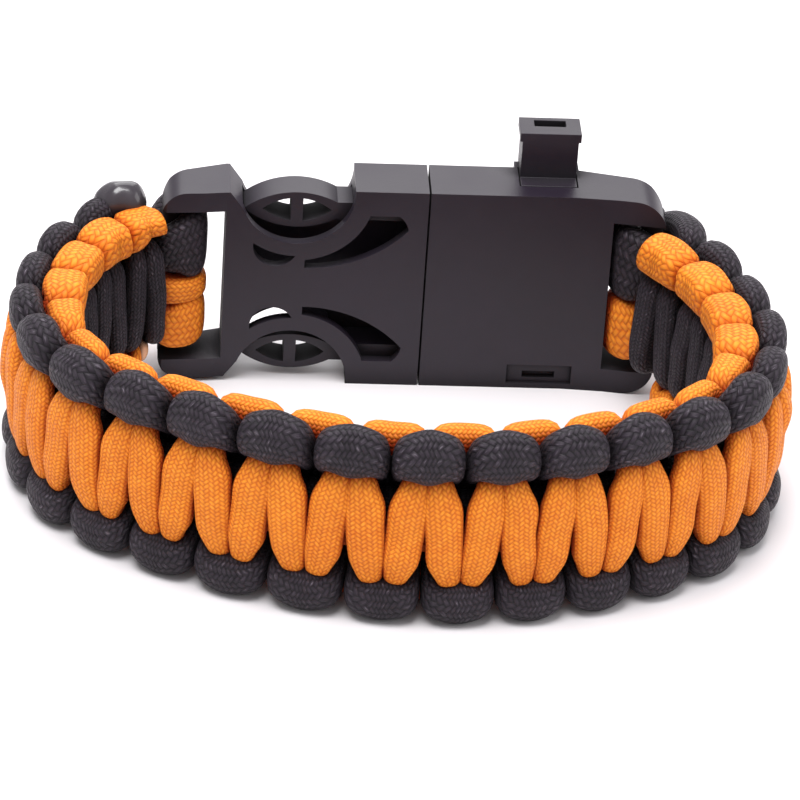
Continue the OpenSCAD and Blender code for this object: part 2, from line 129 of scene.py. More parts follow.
class Graph:
    """Adds and joins the nodes of one shader tree."""

    def __init__(self, tree: bpy.types.NodeTree) -> None:
        """Keeps the tree that the nodes go to."""
        self.tree = tree

    def add(self, kind: str, **settings: object) -> bpy.types.Node:
        """Adds a node to the tree.

        Args:
            kind: The node's type.
            settings: Values of the node's own properties.

        Returns:
            The new node.
        """
        node = self.tree.nodes.new(kind)
        for name, value in settings.items():
            setattr(node, name, value)
        return node

    def feed(self, socket: Socket, value: object) -> None:
        """Joins an input to another node's output, or sets it to a constant.

        Args:
            socket: The input.
            value: The output that it reads, or its constant.
        """
        if isinstance(value, bpy.types.NodeSocket):
            self.tree.links.new(value, socket)
        else:
            socket.default_value = value

    def math(self, operation: str, *values: object) -> Socket:
        """Adds a Math node.

        Args:
            operation: Its operation, such as MULTIPLY.
            values: Its inputs, each a number or a socket.

        Returns:
            Its result.
        """
        node = self.add("ShaderNodeMath", operation=operation)
        for socket, value in zip(node.inputs, values):
            self.feed(socket, value)
        return node.outputs[0]

    def mix(self, share: object, low: object, high: object) -> Socket:
        """Mixes two numbers.

        Args:
            share: How much of the second, from 0 to 1.
            low: The first number.
            high: The second.

        Returns:
            The mixed number.
        """
        node = self.add("ShaderNodeMix", data_type="FLOAT")
        self.feed(node.inputs[0], share)
        self.feed(node.inputs[2], low)
        self.feed(node.inputs[3], high)
        return node.outputs[0]

    def blend(self, share: object, low: object, high: object) -> Socket:
        """Mixes two colours, each three numbers or a socket.

        Args:
            share: How much of the second, from 0 to 1.
            low: The first colour.
            high: The second.

        Returns:
            The mixed colour.
        """
        node = self.add("ShaderNodeMix", data_type="RGBA")
        self.feed(node.inputs[0], share)
        for socket, value in ((node.inputs[6], low), (node.inputs[7], high)):
            self.feed(socket, (*value, 1.0) if isinstance(value, tuple) else value)
        return node.outputs[2]

    def spread(self, value: object, low: object, high: object) -> Socket:
        """Stretches a value to the range from 0 to 1.

        Args:
            value: The value.
            low: What becomes 0, as all below it does.
            high: What becomes 1, as all above it does.

        Returns:
            The value's place between the two.
        """
        node = self.add("ShaderNodeMapRange", clamp=True)
        self.feed(node.inputs["Value"], value)
        self.feed(node.inputs["From Min"], low)
        self.feed(node.inputs["From Max"], high)
        return node.outputs["Result"]

    def vector(self, x: object, y: object, z: object) -> Socket:
        """Joins three values.

        Args:
            x: The first, a number or a socket.
            y: The second.
            z: The third.

        Returns:
            Their vector.
        """
        node = self.add("ShaderNodeCombineXYZ")
        for socket, value in zip(node.inputs, (x, y, z)):
            self.feed(socket, value)
        return node.outputs[0]

    def noise(self, where: Socket, scale: float, detail: float = 2.0, rough: float = 0.5) -> Socket:
        """Adds a noise.

        Args:
            where: The place that it is read at.
            scale: How many of its waves are in a unit of that place.
            detail: How many finer layers it has.
            rough: How strong those are.

        Returns:
            A number between 0 and 1.
        """
        node = self.add("ShaderNodeTexNoise")
        self.feed(node.inputs["Vector"], where)
        node.inputs["Scale"].default_value = scale
        node.inputs["Detail"].default_value = detail
        node.inputs["Roughness"].default_value = rough
        return node.outputs["Fac"]

    def effect(self, tree: bpy.types.NodeTree, values: dict[str, object]) -> bpy.types.Node:
        """Places a shared node group.

        Args:
            tree: The group.
            values: The values of its named inputs, each a number or a socket.

        Returns:
            The group's node.
        """
        node = self.add("ShaderNodeGroup", node_tree=tree)
        for name, value in values.items():
            self.feed(node.inputs[name], value)
        return node

    def bump(self, shader: bpy.types.Node, height: object, strength: float, depth_mm: float) -> None:
        """Raises a shader's surface by a height.

        Args:
            shader: The Principled shader.
            height: The height's socket.
            strength: How strongly it shows.
            depth_mm: How far a height of 1 stands up, in millimetres.
        """
        node = self.add("ShaderNodeBump")
        node.inputs["Strength"].default_value = strength
        node.inputs["Distance"].default_value = depth_mm * MM
        self.feed(node.inputs["Height"], height)
        self.feed(shader.inputs["Normal"], node.outputs[0])


def new_group(name: str, inputs: dict[str, object],
              outputs: list[str]) -> tuple[bpy.types.NodeTree, Graph, Sockets, Sockets]:
    """Starts a shader node group.

    Args:
        name: The group's name.
        inputs: Input names, with a default number or None for a vector.
        outputs: Names of its number outputs.

    Returns:
        The tree, its graph, the input sockets by name and the output sockets by name.
    """
    tree = bpy.data.node_groups.new(name, "ShaderNodeTree")
    for label, value in inputs.items():
        kind = "NodeSocketVector" if value is None else "NodeSocketFloat"
        socket = tree.interface.new_socket(name=label, in_out="INPUT", socket_type=kind)
        if value is not None:
            socket.default_value = value
    for label in outputs:
        tree.interface.new_socket(name=label, in_out="OUTPUT", socket_type="NodeSocketFloat")
    graph = Graph(tree)
    start = graph.add("NodeGroupInput")
    end = graph.add("NodeGroupOutput")
    return tree, graph, {k: start.outputs[k] for k in inputs}, {k: end.inputs[k] for k in outputs}


class Effects:
    """The shader node groups that the finishes share, each built once."""

    WEAVE_REPEAT = 4.0
    LAST_OVER = 1.5
    FIBRE_STRETCH = 1.2
    FIBRE_SHIFT = 40.0
    GRAIN_SCALE = 5200.0
    WAVE_SCALE = 160.0
    WAVE_HEIGHT = 2.0
    SMUDGE_SCALE = 75.0
    SMUDGE_SPAN = (0.35, 0.7)
    SEAM_SAMPLES = 6
    HOLLOW_SAMPLES = 8

    def __init__(self) -> None:
        """Builds the groups."""
        self.braid = self._braid()
        self.grain = self._grain()
        self.seam_shade_group = self._openness("seam_shade_openness", self.SEAM_SAMPLES)
        self.hollow_shade_group = self._openness("hollow_shade_openness", self.HOLLOW_SAMPLES)

    def _braid(self) -> bpy.types.NodeTree:
        """Builds the group of a cord's braided sheath, on a map in stitches and columns.

        Two sets of yarns cross on the diagonals, and each passes over two and under two.

        Returns:
            The group, with the relief's height, each yarn's own tint and its fibres.
        """
        tree, g, start, end = new_group(
            "braided_sheath", {"Place": None, "Fibre Scale": 9.0}, ["Height", "Tint", "Fibre"])
        split = g.add("ShaderNodeSeparateXYZ")
        g.feed(split.inputs[0], start["Place"])
        a = g.math("ADD", split.outputs[0], split.outputs[1])
        b = g.math("SUBTRACT", split.outputs[0], split.outputs[1])
        row, part_a = g.math("FLOOR", a), g.math("FRACT", a)
        column, part_b = g.math("FLOOR", b), g.math("FRACT", b)
        phase = g.math("FLOORED_MODULO", g.math("SUBTRACT", row, column), self.WEAVE_REPEAT)
        over = g.math("LESS_THAN", phase, self.LAST_OVER)
        along_a = g.math("MULTIPLY", g.math("ADD", phase, part_a), 0.5)
        back = g.math("SUBTRACT", self.WEAVE_REPEAT - 1, phase)
        along_b = g.math("MULTIPLY", g.math("ADD", back, part_b), 0.5)
        across = g.mix(over, part_a, part_b)
        along = g.mix(over, along_b, along_a)
        height = g.math("MULTIPLY", g.math("SQRT", self._dome(g, across)), self._dome(g, along))
        yarn_x = g.mix(over, row, g.math("SUBTRACT", row, phase))
        yarn_y = g.mix(over, g.math("SUBTRACT", column, back), column)
        white = g.add("ShaderNodeTexWhiteNoise", noise_dimensions="3D")
        g.feed(white.inputs["Vector"], g.vector(yarn_x, yarn_y, over))
        fibres = g.vector(g.math("MULTIPLY", across, start["Fibre Scale"]),
                          g.math("MULTIPLY", along, self.FIBRE_STRETCH),
                          g.math("MULTIPLY", white.outputs["Value"], self.FIBRE_SHIFT))
        g.feed(end["Height"], height)
        g.feed(end["Tint"], white.outputs["Value"])
        g.feed(end["Fibre"], g.noise(fibres, 1.0, 1.0))
        return tree

    @staticmethod
    def _dome(g: Graph, share: Socket) -> Socket:
        """Returns 1 in the middle of a share from 0 to 1, and 0 at both ends."""
        centred = g.math("MULTIPLY_ADD", share, 2.0, -1.0)
        return g.math("SUBTRACT", 1.0, g.math("MULTIPLY", centred, centred))

    def _grain(self) -> bpy.types.NodeTree:
        """Builds the group of a moulded surface.

        Returns:
            The group, with the height of its grain and soft waves, and its smudges.
        """
        tree, g, start, end = new_group(
            "moulded_grain", {"Place": None, "Grain": 1.0}, ["Height", "Smudge"])
        fine = g.noise(start["Place"], self.GRAIN_SCALE, 3.0, 0.6)
        broad = g.noise(start["Place"], self.WAVE_SCALE, 2.0)
        smudge = g.noise(start["Place"], self.SMUDGE_SCALE, 4.0, 0.6)
        grain = g.math("MULTIPLY", fine, start["Grain"])
        g.feed(end["Height"], g.math("MULTIPLY_ADD", broad, self.WAVE_HEIGHT, grain))
        g.feed(end["Smudge"], g.spread(smudge, *self.SMUDGE_SPAN))
        return tree

    @staticmethod
    def _openness(name: str, samples: int) -> bpy.types.NodeTree:
        """Builds a group that finds deep places, such as hollows and the seams between strands, where the
        finishes paint shade.

        Args:
            name: The group's name.
            samples: How many rays look round.

        Returns:
            The group, which puts out 0 in a deep place and 1 in the open.
        """
        tree, g, start, end = new_group(name, {"Reach": 0.005, "Shut": 0.3, "Open": 0.8}, ["Share"])
        seen = g.add("ShaderNodeAmbientOcclusion", samples=samples)
        g.feed(seen.inputs["Distance"], start["Reach"])
        g.feed(end["Share"], g.spread(seen.outputs["AO"], start["Shut"], start["Open"]))
        return tree


def new_material(name: str) -> tuple[bpy.types.Material, Graph, bpy.types.Node]:
    """Starts a material.

    Args:
        name: The material's name.

    Returns:
        The material, its graph and its Principled shader.
    """
    material = bpy.data.materials.new(name)
    material.use_nodes = True
    material.node_tree.nodes.clear()
    graph = Graph(material.node_tree)
    shader = graph.add("ShaderNodeBsdfPrincipled")
    graph.feed(graph.add("ShaderNodeOutputMaterial").inputs["Surface"], shader.outputs[0])
    return material, graph, shader


@dataclass(frozen=True)
class CordFinish:
    """Nylon sheath of a braided cord.

    Light and deep colour its yarns. The share between them follows each yarn's tint, a soft cloud and the
    weave's relief, as painted light on the crowns and painted shade in the grooves.
    The crowns' fibres take a painted highlight colour, and the deep seams between strands a painted shade
    colour.
    A span is the two values that count as none and all of an effect.
    """

    name: str
    light: Rgb
    deep: Rgb
    # Painted highlight colour of the fibres on the crowns
    painted_highlight: Rgb
    # Painted shade colour of the deep seams between strands
    painted_seam_shade: Rgb
    fuzz: float
    sheen: float
    sheen_tint: Rgb
    rough: Span
    relief_mm: float = 0.17
    seam_shade_mm: float = 3.0
    seam_shade_span: Span = (0.2, 0.8)
    relief_light_and_shade_span: Span = (0.3, 1.15)
    fibre_span: Span = (0.58, 0.78)
    crown_span: Span = (0.55, 0.95)
    fibre_lift: float = 0.5
    cloud_scale: float = 190.0
    cloud_span: Span = (0.3, 0.7)
    yarn_share: float = 0.26
    relief_light_and_shade_share: float = 0.66
    cloud_share: float = 0.16
    bump: float = 0.85
    specular: float = 0.22
    sheen_rough: float = 0.45

    def material(self, effects: Effects) -> bpy.types.Material:
        """Makes the cord's material, whose weave follows the cord's own map.

        Args:
            effects: The shared node groups.

        Returns:
            The material.
        """
        material, g, shader = new_material(self.name)
        place = g.add("ShaderNodeUVMap", uv_map=BraidedCord.MAP)
        braid = g.effect(effects.braid, {"Place": place.outputs[0]})
        where = g.add("ShaderNodeTexCoord").outputs["Object"]
        height, tint, fibre = (braid.outputs[k] for k in ("Height", "Tint", "Fibre"))
        cloud = g.spread(g.noise(where, self.cloud_scale, 3.0), *self.cloud_span)
        # Painted light and shade: the colour is lighter on the weave's raised crowns and darker in its
        # grooves
        relief_light_and_shade = g.spread(g.math("MULTIPLY_ADD", fibre, self.fibre_lift, height), *self.relief_light_and_shade_span)
        share = g.math("MULTIPLY_ADD", tint, self.yarn_share, g.math("MULTIPLY", relief_light_and_shade, self.relief_light_and_shade_share))
        share = g.math("MULTIPLY_ADD", cloud, self.cloud_share, share)
        # Painted highlight: the crowns' fibres are blended towards a light highlight colour
        highlight_mask = g.math("MULTIPLY", g.spread(fibre, *self.fibre_span), g.spread(height, *self.crown_span))
        nylon = g.blend(share, self.deep, self.light)
        nylon = g.blend(g.math("MULTIPLY", highlight_mask, tint), nylon, self.painted_highlight)
        # Painted shade: deep seams between strands, found by ambient occlusion, are blended towards a dark
        # shade colour
        shut, clear = self.seam_shade_span
        seam = g.effect(effects.seam_shade_group, {"Reach": self.seam_shade_mm * MM, "Shut": shut, "Open": clear})
        g.feed(shader.inputs["Base Color"], g.blend(seam.outputs["Share"], self.painted_seam_shade, nylon))
        g.feed(shader.inputs["Roughness"], g.mix(fibre, *self.rough))
        shader.inputs["Specular IOR Level"].default_value = self.specular
        shader.inputs["Sheen Weight"].default_value = self.sheen
        shader.inputs["Sheen Roughness"].default_value = self.sheen_rough
        shader.inputs["Sheen Tint"].default_value = (*self.sheen_tint, 1.0)
        g.bump(shader, g.math("MULTIPLY_ADD", fibre, self.fuzz, height), self.bump, self.relief_mm)
        return material


@dataclass(frozen=True)
class MouldedFinish:
    """Satin moulded plastic, or the dull metal of the striker's rod.

    Deep places, which little light reaches, are painted in a dark colour of shade.
    """

    name: str
    colour: Rgb
    dusty: Rgb
    rough: Span
    grain: float
    metallic: float = 0.0
    coat: float = 0.0
    # Painted shade colour of deep hollows
    painted_hollow_shade: Rgb = (0.004, 0.003, 0.005)
    cavity_mm: float = 5.0
    cavity_span: Span = (0.35, 0.85)
    hollow_rough: float = 0.95
    bump: float = 0.35
    depth_mm: float = 0.03
    specular: float = 0.38
    coat_rough: float = 0.12

    def material(self, effects: Effects) -> bpy.types.Material:
        """Makes the finish's material.

        Args:
            effects: The shared node groups.

        Returns:
            The material.
        """
        material, g, shader = new_material(self.name)
        where = g.add("ShaderNodeTexCoord").outputs["Object"]
        moulded = g.effect(effects.grain, {"Place": where, "Grain": self.grain})
        height, smudge = moulded.outputs["Height"], moulded.outputs["Smudge"]
        # Painted shade: deep hollows, found by ambient occlusion, take a dark shade colour and a matt
        # roughness
        shut, clear = self.cavity_span
        cavity = g.effect(effects.hollow_shade_group, {"Reach": self.cavity_mm * MM, "Shut": shut, "Open": clear})
        open_share = cavity.outputs["Share"]
        skin = g.blend(smudge, self.colour, self.dusty)
        g.feed(shader.inputs["Base Color"], g.blend(open_share, self.painted_hollow_shade, skin))
        rough = g.mix(smudge, *self.rough)
        g.feed(shader.inputs["Roughness"], g.mix(open_share, self.hollow_rough, rough))
        shader.inputs["Specular IOR Level"].default_value = self.specular
        shader.inputs["Metallic"].default_value = self.metallic
        shader.inputs["Coat Weight"].default_value = self.coat
        shader.inputs["Coat Roughness"].default_value = self.coat_rough
        g.bump(shader, height, self.bump, self.depth_mm)
        return material


ORANGE_SHEATH = CordFinish(
    "orange_sheath", light=(0.97, 0.315, 0.024), deep=(0.60, 0.105, 0.006),
    painted_highlight=(0.98, 0.44, 0.06), painted_seam_shade=(0.36, 0.028, 0.003), fuzz=0.28, sheen=0.03,
    sheen_tint=(1.0, 0.75, 0.4), rough=(0.66, 0.46))
BLACK_SHEATH = CordFinish(
    "black_sheath", light=(0.037, 0.028, 0.039), deep=(0.001, 0.0008, 0.0013),
    painted_highlight=(0.23, 0.20, 0.235), painted_seam_shade=(0.003, 0.002, 0.003), fuzz=0.55, sheen=0.03,
    sheen_tint=(0.80, 0.70, 0.85), rough=(0.60, 0.38), relief_mm=0.25)
BUCKLE_PLASTIC = MouldedFinish(
    "buckle_plastic", colour=(0.0155, 0.0105, 0.019), dusty=(0.022, 0.016, 0.027), rough=(0.34, 0.44),
    grain=1.0)
HANDLE_PLASTIC = MouldedFinish(
    "handle_plastic", colour=(0.018, 0.013, 0.021), dusty=(0.025, 0.019, 0.029), rough=(0.36, 0.46),
    grain=1.4)
ROD_METAL = MouldedFinish(
    "striker_metal", colour=(0.10, 0.10, 0.11), dusty=(0.055, 0.053, 0.055), rough=(0.30, 0.55),
    grain=2.5, metallic=0.85)
BLACK_MELT = MouldedFinish(
    "black_melted_nylon", colour=(0.028, 0.023, 0.030), dusty=(0.060, 0.051, 0.063), rough=(0.22, 0.36),
    grain=0.8, coat=0.6)
PALE_MELT = MouldedFinish(
    "orange_melted_nylon", colour=(0.85, 0.42, 0.20), dusty=(0.88, 0.60, 0.42), rough=(0.16, 0.30),
    grain=0.4, coat=0.5)


@dataclass(frozen=True)
class CordSizes:
    """The paracord, in millimetres."""

    diameter: float = 4.0
    flat: float = 2.9
    gap: float = 0.1
    columns: int = 20
    stitch: float = 0.56

    @property
    def flat_r(self) -> float:
        """Half thickness where the cord is pressed flat."""
        return self.flat / 2

    @property
    def strand_r(self) -> float:
        """Half width of a strand inside the band."""
        return self.diameter / 2 - self.gap / 2


@dataclass(frozen=True)
class BuckleSizes:
    """Landmarks of the closed buckle that the cords pass, in millimetres.

    A share is a place's distance from the inner face, as a part of the thickness.
    """

    height: float = 27.8
    thickness: float = 7.3
    seam: float = 0.25
    bar_r: float = 1.35
    socket_len: float = 22.9
    end_wall: float = 2.0
    socket_slot: float = 5.2
    box_len: float = 22.8
    box_slot: float = 3.8
    left_bar_share: float = 0.41
    right_bar_share: float = 0.3
    socket_share: float = 0.1

    @property
    def middle(self) -> float:
        """Height of the buckle's middle."""
        return self.height / 2

    @property
    def left_bar(self) -> np.ndarray:
        """Plan place of the socket's strap bar."""
        x = -self.seam / 2 - self.socket_len - self.end_wall - self.socket_slot - self.bar_r
        return np.array([x, self.thickness * self.left_bar_share])

    @property
    def right_bar(self) -> np.ndarray:
        """Plan place of the box's strap bar."""
        x = self.seam / 2 + self.box_len + self.box_slot + self.bar_r
        return np.array([x, self.thickness * self.right_bar_share])

    def offset(self) -> np.ndarray:
        """Finds where the socket lies in the frame.

        Returns:
            What moves the buckle's millimetres to the frame's place.
        """
        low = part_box("socket_half")[0] / MM
        x = low.x - (self.left_bar[0] - self.bar_r)
        return np.array([x, low.y + self.thickness * self.socket_share, 0.0])


class Station(NamedTuple):
    """A point of a strand with its half sizes along the band, outwards and upwards.

    Square is the exponent of its section, 2 for an ellipse and more for a boxier one.
    """

    point: np.ndarray
    heading: float
    sizes: tuple[float, float, float]
    hidden: bool = False
    square: float = PRESSED


class TurnRow(NamedTuple):
    """A station of one turn, from the middle of a bar to the middle of an edge loop.

    Half knots from the loop, outward and upward shares, and half sizes: along the band in half
    knots, outwards and upwards as shares of the loop's own.
    """

    along: float
    out: float
    up: float
    half_along: float
    half_out: float
    half_up: float
    hidden: bool = False


ORANGE_TURN = (
    TurnRow(-0.50, 1.00, 0.00, 0.505, 0.78, 0.60),
    TurnRow(-0.57, 0.98, 0.34, 0.485, 0.77, 0.60),
    TurnRow(-0.675, 0.80, 0.60, 0.350, 0.72, 0.60),
    TurnRow(-0.75, 0.16, 0.74, 0.225, 0.90, 0.60, True),
    TurnRow(-0.75, -0.50, 0.83, 0.235, 0.90, 0.66, True),
    TurnRow(-0.66, -0.97, 0.975, 0.340, 0.96, 0.92),
    TurnRow(0.00, -1.00, 1.00, 0.490, 1.00, 1.00),
)
BLACK_TURN = (
    TurnRow(-0.50, 1.00, 0.00, 0.490, 0.62, 0.50),
    TurnRow(-0.55, 0.97, 0.30, 0.470, 0.62, 0.50),
    TurnRow(-0.60, 0.88, 0.56, 0.420, 0.62, 0.50),
    TurnRow(-0.74, 0.16, 0.72, 0.235, 0.76, 0.50, True),
    TurnRow(-0.74, -0.50, 0.84, 0.240, 0.76, 0.56, True),
    TurnRow(-0.56, -0.96, 0.965, 0.400, 0.90, 0.84),
    TurnRow(0.00, -1.00, 1.00, 0.440, 1.00, 1.00),
)
LAST_ROW = len(BLACK_TURN) - 1


class Loop(NamedTuple):
    """An edge loop in millimetres: its middle above or below the band's, and its half sizes.

    Square is the exponent of its section, and wide a share of its width along the band.
    """

    up: float
    half_up: float
    out: float
    half_out: float
    square: float = PRESSED
    wide: float = 1.0


class Arc(NamedTuple):
    """A stretch of the band's plan curve: its length and its turn in degrees."""

    length: float
    turn: float


class Pace(NamedTuple):
    """How tightly the knots are drawn at a share of the band's length."""

    share: float
    pitch: float


class InsideRow(NamedTuple):
    """A place inside the band: its half knot, and how far it lies out and up from the middle."""

    u: float
    out: float
    up: float


@dataclass
class Band:
    """The woven band: its plan curve, the pace of its knots and how it rises to the buckle.

    Its middle lies in the core, and out and up are measured from there. Rows further out than
    bar_from belong to a bar, and rows further in than loop_from to an edge loop.
    """

    buckle: BuckleSizes
    cord: CordSizes
    length: float = 157.5
    knots: int = 41
    width: float = 24.6
    rise_over: float = 9.0
    end_spread: float = 0.35
    spread_over: float = 3.0
    bar_from: float = 0.5
    loop_from: float = -0.9
    core_step: int = 2
    bar_out: float = 3.05
    bar_up: float = 9.66
    outer_upper: Loop = Loop(10.3, 3.3, 2.5, 2.4, 2.35, 0.88)
    outer_lower: Loop = Loop(9.4, 2.85, 2.45, 2.35, 2.35, 1.03)
    outer_end: Loop = Loop(9.6, 2.7, 2.1, 1.9)
    inner_upper: Loop = Loop(9.8, 2.0, 2.0, 1.6, 2.3, 0.94)
    inner_lower: Loop = Loop(9.55, 2.6, 2.3, 1.9)
    inner_end: Loop = Loop(9.9, 2.4, 2.35, 2.65, 3.6)
    inner_first: Loop = Loop(10.1, 1.3, 2.0, 2.5, 3.6)
    upper_plump: float = 0.3
    bow_range: tuple[float, float] = (0.7, 1.3)
    halvings: int = 24
    end_from: float = 7.0
    end_to: float = 9.5
    start_from_bar: tuple[float, float] = (-3.9, -2.3)
    end_from_bar: tuple[float, float] = (2.2, -6.3)
    arcs: tuple[Arc, ...] = (Arc(44, 116), Arc(27.5, 22), Arc(44.5, 48), Arc(25, 70), Arc(16.5, 26))
    paces: tuple[Pace, ...] = (
        Pace(0, 0.84), Pace(0.23, 0.97), Pace(0.43, 1.18), Pace(0.62, 1.06), Pace(0.82, 0.95), Pace(1, 0.98))

    def __post_init__(self) -> None:
        """Closes the band between the two strap bars and sums the pace."""
        self.start = self.buckle.left_bar + np.array(self.start_from_bar)
        end = self.buckle.right_bar + np.array(self.end_from_bar)
        span = end - self.start
        low, high = self.bow_range
        for _ in range(self.halvings):
            bow = (low + high) / 2
            reach = np.linalg.norm(self._chain(bow)[-1][:2])
            low, high = (bow, high) if reach > np.linalg.norm(span) else (low, bow)
        self.chain = self._chain((low + high) / 2)
        last = self.chain[-1]
        self.lie = math.atan2(span[1], span[0]) - math.atan2(last[1], last[0])
        self.pace_total = self._pace_area(1.0)

    @staticmethod
    def _step(at: np.ndarray, length: float, turn: float) -> np.ndarray:
        """Goes along an arc.

        Args:
            at: Where it starts, as x, y, heading and arc length.
            length: Its length.
            turn: Its turn in radians.

        Returns:
            Where it ends, in the same form.
        """
        chord = length if abs(turn) < 1e-5 else 2 * length / turn * math.sin(turn / 2)
        middle = at[2] + turn / 2
        return at + np.array([chord * math.cos(middle), chord * math.sin(middle), turn, length])

    def _chain(self, bow: float) -> list[np.ndarray]:
        """Joins the arcs into one curve.

        Args:
            bow: The share of its own turn that each arc takes.

        Returns:
            The ends of the arcs, as x, y, heading and arc length.
        """
        total = sum(arc.length for arc in self.arcs)
        ends = [np.zeros(4)]
        for arc in self.arcs:
            ends.append(self._step(ends[-1], arc.length / total * self.length, math.radians(arc.turn * bow)))
        return ends

    def _arc_at(self, s: float) -> int:
        """Returns the arc that holds arc length s."""
        inner = [end[3] for end in self.chain[1:-1]]
        return int(np.searchsorted(inner, s, side="left"))

    def plan_at(self, s: float) -> tuple[float, float, float]:
        """Finds a place on the band's middle.

        Args:
            s: The arc length from its start.

        Returns:
            The plan position and heading.
        """
        i = self._arc_at(s)
        here, there = self.chain[i], self.chain[i + 1]
        d = s - here[3]
        q = self._step(here, d, (there[2] - here[2]) * d / (there[3] - here[3]))
        c, w = math.cos(self.lie), math.sin(self.lie)
        return self.start[0] + q[0] * c - q[1] * w, self.start[1] + q[0] * w + q[1] * c, q[2] + self.lie

    def bend_at(self, s: float) -> float:
        """Finds how strongly the band bends.

        Args:
            s: The arc length from its start.

        Returns:
            The curvature.
        """
        i = self._arc_at(s)
        here, there = self.chain[i], self.chain[i + 1]
        return (there[2] - here[2]) / (there[3] - here[3])

    def _pace_area(self, share: float) -> float:
        """Sums the pace.

        Args:
            share: The share of the band up to which it is summed.

        Returns:
            The area under the pace.
        """
        area = 0.0
        for a, b in zip(self.paces, self.paces[1:]):
            if share <= a.share:
                break
            end = min(share, b.share)
            pitch = a.pitch + (b.pitch - a.pitch) * (end - a.share) / (b.share - a.share)
            area += (end - a.share) * (a.pitch + pitch) / 2
        return area

    def pitch_at(self, u: float) -> float:
        """Finds how long a half knot is.

        Args:
            u: The half knot.

        Returns:
            Its length along the band.
        """
        share = min(max(u / self.knots, 0.0), 1.0)
        pitch = np.interp(share, [p.share for p in self.paces], [p.pitch for p in self.paces])
        return self.length / self.knots / self.pace_total * float(pitch)

    def s_at(self, u: float) -> float:
        """Finds a half knot's place along the band.

        Args:
            u: The half knot, which may lie past either end.

        Returns:
            The arc length from the band's start.
        """
        if u < 0:
            return u * self.pitch_at(0)
        if u > self.knots:
            return self.length + (u - self.knots) * self.pitch_at(self.knots)
        return self.length * self._pace_area(u / self.knots) / self.pace_total

    def _ease(self, u: float, over: float) -> float:
        """Returns 1 at both ends of the band, falling to 0 over some half knots."""
        return max(0.0, 1 - max(min(u, self.knots - u), 0.0) / over) ** 2

    def loop(self, u: float, face: Face, upper: bool) -> Loop:
        """Finds the shape of a strand's edge loop.

        Args:
            u: The half knot.
            face: The side that the strand's bars show on, so that its loops are on the other.
            upper: Whether the loop is on the band's upper edge.

        Returns:
            The loop.
        """
        if not upper:
            return self.outer_lower if face is Face.INSIDE else self.inner_lower
        if face is Face.OUTSIDE and u < 1:
            return self.inner_first
        middle, end = ((self.outer_upper, self.outer_end) if face is Face.INSIDE
                       else (self.inner_upper, self.inner_end))
        share = min(1.0, max(0.0, (self.end_to - min(u, self.knots - u)) / (self.end_to - self.end_from)))
        return Loop(*(a + (b - a) * share for a, b in zip(middle, end)))

    def station(self, u: float, out: float, up: float, sizes: tuple[float, float, float],
                hidden: bool = False, square: float = PRESSED) -> Station:
        """Places a station on the band.

        Args:
            u: The half knot.
            out: How far out it lies from the band's middle.
            up: How far up.
            sizes: Its half sizes along the band, outwards and upwards.
            hidden: Whether the cord is hidden there.
            square: The exponent of its section.

        Returns:
            The station.
        """
        x, y, heading = self.plan_at(self.s_at(u))
        rise = self.buckle.height / 2 - self.width / 2
        z = self.width / 2 + rise * self._ease(u, self.rise_over) + up
        return Station(np.array([x + out * math.sin(heading), y - out * math.cos(heading), z]),
                       heading, sizes, hidden, square)

    def turn(self, t: int, k_from: int, k_to: int, face: Face) -> list[Station]:
        """Lays one turn round an edge of the band, from row k_from down to k_to.

        Args:
            t: The turn's half knot.
            k_from: The first row, counted from the middle of a bar to the middle of the next.
            k_to: The last row.
            face: The side that the strand's bars show on.

        Returns:
            The stations of those rows.
        """
        rows = ORANGE_TURN if face is Face.OUTSIDE else BLACK_TURN
        upper = (t % 2 == 0) == (face is Face.OUTSIDE)
        stations = []
        for k in range(k_from, k_to - 1, -1):
            row = rows[min(k, 2 * LAST_ROW - k)]
            u = t + 0.5 + (row.along if k <= LAST_ROW else -row.along)
            loop = self.loop(u, face, upper)
            spread = 1 + self.end_spread * self._ease(u, self.spread_over)
            out = face.value * row.out * (self.bar_out if row.out > 0 else loop.out) * spread
            up = row.up * (self.bar_up if row.out > 0 else loop.up)
            along = row.half_along * self.pitch_at(u) * (1 + out * self.bend_at(self.s_at(u)))
            on_loop = row.out < self.loop_from
            if row.out > self.bar_from and upper:
                along *= 1 + self.upper_plump * row.up
            elif on_loop:
                along *= loop.wide
            sizes = (along - self.cord.gap / 2, row.half_out * loop.half_out, row.half_up * loop.half_up)
            square = loop.square if on_loop else PRESSED
            stations.append(self.station(u, out, up if upper else -up, sizes, row.hidden, square))
        return stations

    def weave(self, first: int, last: int, face: Face) -> list[Station]:
        """Weaves a strand back along the band.

        Args:
            first: The turn that it ends with.
            last: The turn that it starts with.
            face: The side that the strand's bars show on.

        Returns:
            The stations of all those turns.
        """
        stations = []
        for t in range(last, first - 1, -1):
            stations += self.turn(t, 2 * LAST_ROW, 0 if t == first else 1, face)
        return stations

    def inside(self, rows: Sequence[InsideRow], hidden: bool = True) -> list[Station]:
        """Returns the stations of a flattened strand, one for each row."""
        sizes = (self.cord.flat_r, self.cord.flat_r, self.cord.strand_r)
        return [self.station(row.u, row.out, row.up, sizes, hidden) for row in rows]

    def core(self, first: int, last: int, edge: int) -> list[Station]:
        """Returns the hidden core strand on one edge, from half knot first to last."""
        up = edge * (self.cord.diameter / 2 + self.cord.gap / 2)
        return self.inside([InsideRow(u, 0, up) for u in range(first, last + 1, self.core_step)])


class WrapRow(NamedTuple):
    """A place on a turn round a strap bar.

    The angle is 0 along X and -90 at the inner face. The height is above the buckle's middle, and
    the half height is a share of the cord.
    """

    angle: float
    up: float
    half: float


